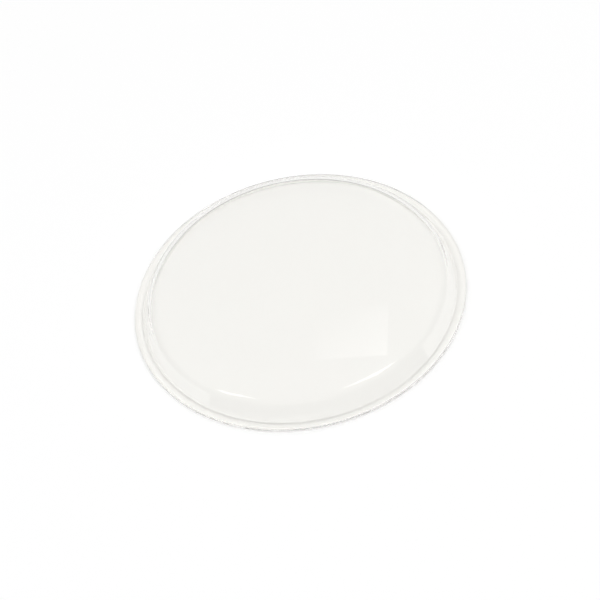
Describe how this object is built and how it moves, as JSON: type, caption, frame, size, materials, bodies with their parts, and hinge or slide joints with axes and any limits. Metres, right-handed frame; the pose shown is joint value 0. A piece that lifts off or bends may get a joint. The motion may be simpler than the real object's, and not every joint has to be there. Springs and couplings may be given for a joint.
{
  "type": "watch glass",
  "caption": "Round shallow laboratory watch glass in clear glass, with a rounded shoulder and a narrow flat rim, for covering beakers or holding small samples.",
  "frame": {"origin": "centre of the rim's flat resting face, on the axis", "axes": "+Z along the axis of revolution, from the resting face up to the crown"},
  "size_m": [0.1, 0.1, 0.0102],
  "materials": {
    "clear_glass": "polished"
  },
  "bodies": {
    "root": {"watch_glass": "clear_glass"}
  },
  "joints": []
}
